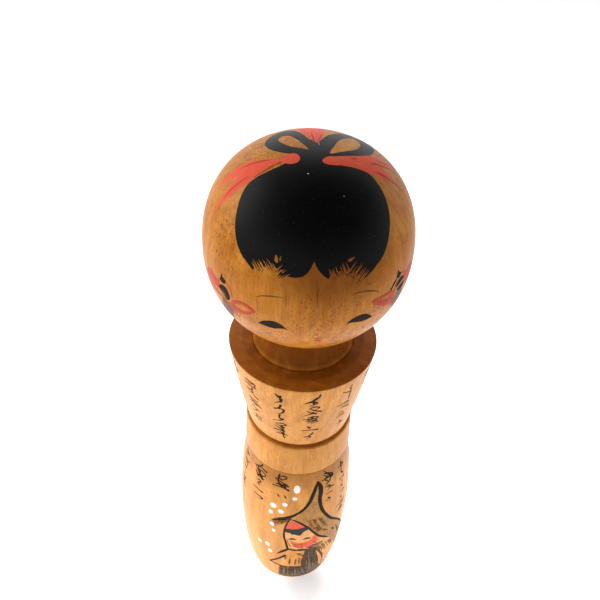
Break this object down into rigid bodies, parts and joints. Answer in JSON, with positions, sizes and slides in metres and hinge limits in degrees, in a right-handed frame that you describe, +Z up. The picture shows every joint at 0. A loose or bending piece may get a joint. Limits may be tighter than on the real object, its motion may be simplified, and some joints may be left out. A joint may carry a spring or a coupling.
{
  "type": "kokeshi doll",
  "caption": "Lathe-turned wooden doll with a turning ball head, flared collar, plain belt and barrel-shaped lower body, painted and varnished.",
  "frame": {"origin": "middle of the underside that the doll stands on", "axes": "+Z up along the turning axis, face towards -Y, the doll's left hand side towards +X"},
  "size_m": [0.071, 0.071, 0.242],
  "materials": {
    "varnished_wood": "clear varnish, aged to a warm amber, satin, with fine grain and small foxing spots",
    "bare_wood": "unvarnished turned dowel, matt",
    "black_paint": "black ink and lacquer on wood, satin, lightly scratched",
    "red_paint": "thin red dye on wood with the grain showing through, satin",
    "white_paint": "opaque white paint dots, slightly raised, matt"
  },
  "bodies": {
    "doll_body": {"upper_body": "varnished_wood", "waist_ring": "varnished_wood", "lower_body": "varnished_wood", "waist_dowel": "bare_wood"},
    "doll_head": {"head": "varnished_wood", "neck_ring": "varnished_wood", "neck_dowel": "bare_wood"}
  },
  "joints": [
    {"name": "head_turn", "type": "hinge", "parent": "doll_body", "child": "doll_head", "pos_m": [0, 0, 0.162], "axis": [0, 0, 1], "continuous": true}
  ]
}
